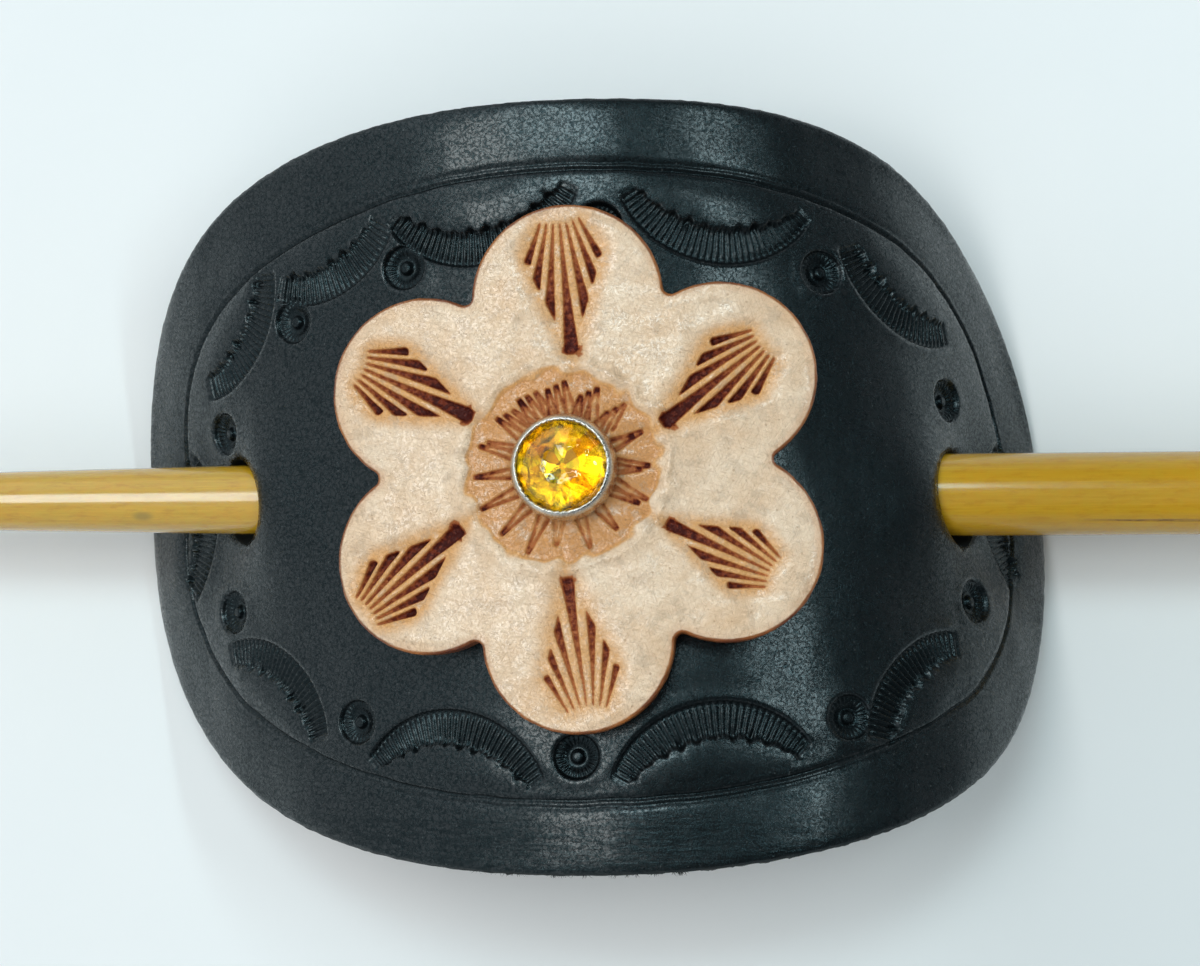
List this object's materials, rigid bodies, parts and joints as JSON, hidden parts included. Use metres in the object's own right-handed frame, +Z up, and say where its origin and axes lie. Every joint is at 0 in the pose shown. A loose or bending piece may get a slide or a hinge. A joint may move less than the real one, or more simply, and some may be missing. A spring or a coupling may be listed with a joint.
{
  "type": "hair barrette with stick",
  "caption": "Arched oval leather hair barrette with a riveted leather flower and a set stone on its crown, held in the hair by a tapered stick through its flaps.",
  "frame": {"origin": "middle of the bounding box at its bottom, on the surface that the flaps stand on, under the stick's axis", "axes": "+X along the stick from its thin point to its thick end, +Z up through the crown of the arch, +Y to the flower's top petal"},
  "size_m": [0.165, 0.0738, 0.0367],
  "materials": {
    "black_leather": "black dyed and polished, stamped, suede underside",
    "natural_leather": "undyed, stamped, with brown stain in the stamps and on the cut edge",
    "nickel": "bright plated",
    "amber_glass": "faceted, foiled behind",
    "stick_wood": "clear lacquer over straight grain"
  },
  "bodies": {
    "barrette": {"leather_plate": "black_leather", "flower": "natural_leather", "setting": "nickel", "stone": "amber_glass", "rivet": "nickel"},
    "stick": {"stick": "stick_wood"}
  },
  "joints": [
    {"name": "stick_slide", "type": "slide", "parent": "barrette", "child": "stick", "axis": [1, 0, 0], "range_m": [0, 0.115]}
  ]
}
